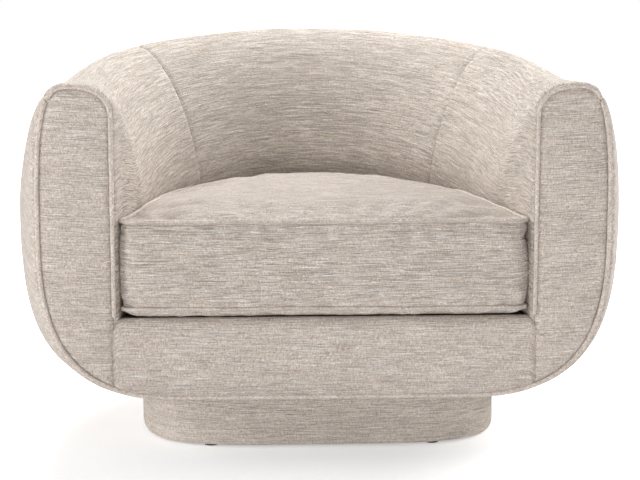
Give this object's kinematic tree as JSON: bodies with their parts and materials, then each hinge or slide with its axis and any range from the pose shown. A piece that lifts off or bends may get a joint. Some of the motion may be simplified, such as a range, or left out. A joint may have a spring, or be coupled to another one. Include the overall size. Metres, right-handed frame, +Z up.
{
  "type": "swivel tub chair",
  "caption": "Upholstered barrel-backed swivel lounge chair with a loose piped seat cushion on a low recessed plinth that turns freely.",
  "frame": {"origin": "on the floor, on the swivel's vertical axis, which is also the centre of the overall box", "axes": "+Z up, the seat faces -Y, and +X points to the right of a viewer who faces the seat"},
  "size_m": [1.049, 0.85, 0.708],
  "materials": {
    "linen": "woven linen-look cloth, oatmeal, matt",
    "piping": "cord covered in the same oatmeal cloth",
    "birch_plywood": "raw birch plywood",
    "beech": "raw beech",
    "spring_wire": "oil tempered wire",
    "zinc_steel": "bright zinc plate",
    "yellow_zinc": "yellow zinc plate",
    "black_felt": "black non-woven cloth",
    "glide_plastic": "moulded black plastic"
  },
  "bodies": {
    "base": {"glides": "glide_plastic", "plinth_wall_ring": "birch_plywood", "plinth_blocks": "beech", "plinth_top": "birch_plywood", "plinth_cover": "linen", "swivel_lower_plate": "zinc_steel", "lower_bolts": "zinc_steel", "lower_nuts": "zinc_steel", "centre_rivet": "zinc_steel"},
    "bearing": {"ball_cage": "yellow_zinc", "bearing_balls": "zinc_steel"},
    "shell": {"swivel_upper_plate": "zinc_steel", "upper_bolts": "zinc_steel", "upper_nuts": "zinc_steel", "bottom_board": "birch_plywood", "dust_cover": "black_felt", "arm_former_left": "birch_plywood", "arm_former_right": "birch_plywood", "front_rail": "beech", "deck_frame": "birch_plywood", "deck_posts": "beech", "top_rail": "beech", "seat_springs": "spring_wire", "spring_clips": "zinc_steel", "deck_pad": "black_felt", "inside_arm_left": "linen", "inside_arm_right": "linen", "inside_back": "linen", "outside_arm_left": "linen", "outside_arm_right": "linen", "outside_back": "linen", "arm_front_left": "linen", "arm_front_right": "linen", "front_apron": "linen", "arch_welt_left": "piping", "arch_welt_right": "piping", "edge_welt": "piping", "former_left_1": "birch_plywood", "former_left_2": "birch_plywood", "former_left_3": "birch_plywood", "former_left_4": "birch_plywood", "former_left_5": "birch_plywood", "former_left_6": "birch_plywood", "former_right_1": "birch_plywood", "former_right_2": "birch_plywood", "former_right_3": "birch_plywood", "former_right_4": "birch_plywood", "former_right_5": "birch_plywood", "former_right_6": "birch_plywood"},
    "cushion": {"seat_cushion": "linen", "cushion_welt_top": "piping", "cushion_welt_bottom": "piping"}
  },
  "joints": [
    {"name": "swivel", "type": "hinge", "parent": "base", "child": "shell", "pos_m": [0, 0, 0.116], "axis": [0, 0, 1], "continuous": true},
    {"name": "bearing_roll", "type": "hinge", "parent": "base", "child": "bearing", "pos_m": [0, 0, 0.116], "axis": [0, 0, 1], "continuous": true},
    {"name": "cushion_lift", "type": "slide", "parent": "shell", "child": "cushion", "axis": [0, 0, 1], "range_m": [0, 0.45]}
  ],
  "couplings": [
    {"joint": "bearing_roll", "follows": "swivel", "ratio": 0.5}
  ]
}
